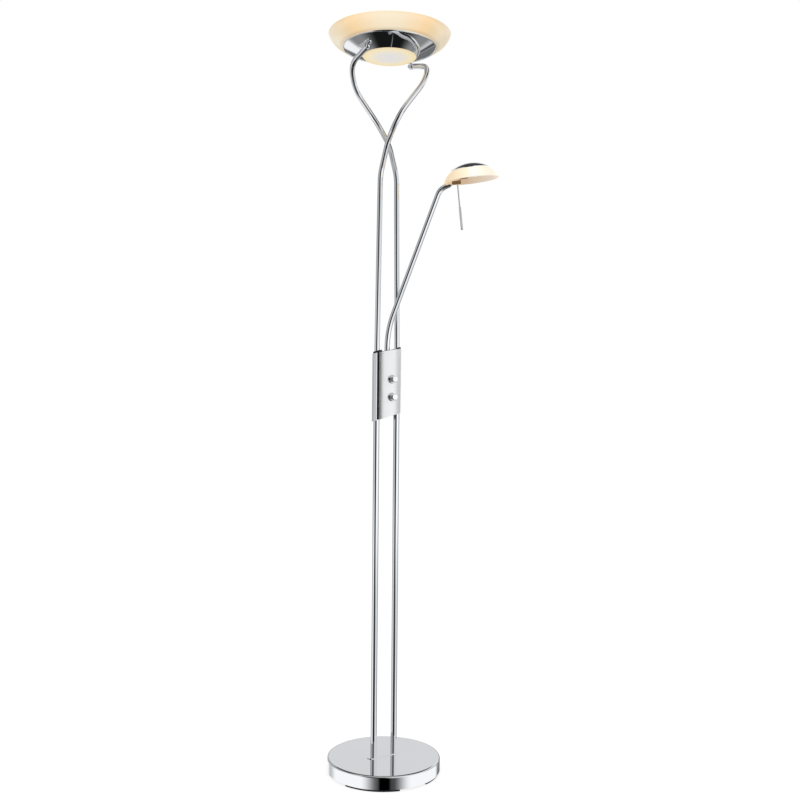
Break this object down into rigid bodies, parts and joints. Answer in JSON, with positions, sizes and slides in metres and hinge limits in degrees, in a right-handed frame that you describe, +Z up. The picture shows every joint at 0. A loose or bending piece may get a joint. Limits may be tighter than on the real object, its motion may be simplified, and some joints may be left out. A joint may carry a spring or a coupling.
{
  "type": "torchiere floor lamp with reading light",
  "caption": "Floor lamp with an upward glass bowl on two crossing chrome tubes, a swivelling reading arm with a glass shade, a dimmer box and a round weighted base.",
  "frame": {"origin": "on the floor under the centre of the round base", "axes": "+Z up; -Y is the front, where the two dimmer knobs face; the two poles stand on the X axis, and the reading arm points to +X and forward at rest"},
  "size_m": [0.376, 0.3402, 1.8],
  "materials": {
    "polished_chrome": "mirror-polished chrome plate",
    "satin_plate": "softly polished chrome plate on the curved box plates",
    "iron": "rough cast iron",
    "steel": "zinc-plated steel",
    "black_rubber": "matt rubber",
    "black_plastic": "satin black plastic",
    "dimmer_plastic": "dark grey moulded plastic",
    "ceramic": "white glazed ceramic",
    "amber_glass": "amber-tinted opal glass, lit from inside",
    "opal_glass": "frosted white glass, lit from inside",
    "quartz": "clear quartz",
    "grey_sleeve": "satin grey"
  },
  "bodies": {
    "stand": {"arm_bush": "black_plastic", "base_cover": "polished_chrome", "base_plate": "steel", "base_plate_screws": "steel", "base_weight": "iron", "box_core": "black_plastic", "box_front_shell": "satin_plate", "box_rear_shell": "polished_chrome", "box_screws": "steel", "burner_holder_left": "ceramic", "burner_holder_right": "ceramic", "burner_holder_screws": "steel", "cable_grommet": "black_rubber", "chrome_dish": "polished_chrome", "dimmer_nuts": "steel", "dish_nuts": "steel", "end_fitting_left": "polished_chrome", "end_fitting_right": "polished_chrome", "foot_pads": "black_rubber", "glass_bowl": "amber_glass", "halogen_burner": "quartz", "knob_bezels": "polished_chrome", "lamp_strap": "steel", "lens_glass": "opal_glass", "lower_dimmer": "dimmer_plastic", "lower_tube_left": "polished_chrome", "lower_tube_right": "polished_chrome", "stem_plate": "polished_chrome", "terminal_block": "dimmer_plastic", "tube_foot_nuts": "steel", "tube_foot_plugs": "steel", "tube_grub_screws": "steel", "upper_dimmer": "dimmer_plastic", "upper_tube_left": "polished_chrome", "upper_tube_right": "polished_chrome"},
    "arm": {"reading_arm_tube": "polished_chrome", "knuckle_screw": "steel"},
    "knuckle": {"head_knuckle": "polished_chrome"},
    "head": {"shade_glass": "amber_glass", "shade_cap": "polished_chrome", "shade_spacer": "steel", "shade_nut": "steel", "head_bracket": "polished_chrome", "head_pivot_pin": "steel", "capsule_socket": "ceramic", "halogen_capsule": "quartz", "handle_rod": "polished_chrome", "handle_grip": "grey_sleeve"},
    "upper_dimmer_knob": {"upper_knob": "polished_chrome", "upper_knob_shaft": "steel"},
    "lower_dimmer_knob": {"lower_knob": "polished_chrome", "lower_knob_shaft": "steel"}
  },
  "joints": [
    {"name": "arm_swivel", "type": "hinge", "parent": "stand", "child": "arm", "pos_m": [0, 0, 1], "axis": [0, 0, 1], "range_deg": [-112, 8]},
    {"name": "head_roll", "type": "hinge", "parent": "arm", "child": "knuckle", "pos_m": [0.12492, -0.0976, 1.43561], "axis": [0.7142, -0.558, 0.4226], "range_deg": [-30, 30]},
    {"name": "head_tilt", "type": "hinge", "parent": "knuckle", "child": "head", "pos_m": [0.12492, -0.0976, 1.43561], "axis": [0.5802, 0.8096, 0.0884], "range_deg": [0, 36]},
    {"name": "upper_knob_turn", "type": "hinge", "parent": "stand", "child": "upper_dimmer_knob", "pos_m": [0, -0.03, 0.9563], "axis": [0, 1, 0], "range_deg": [0, 270]},
    {"name": "lower_knob_turn", "type": "hinge", "parent": "stand", "child": "lower_dimmer_knob", "pos_m": [0, -0.03, 0.913], "axis": [0, 1, 0], "range_deg": [0, 270]}
  ]
}
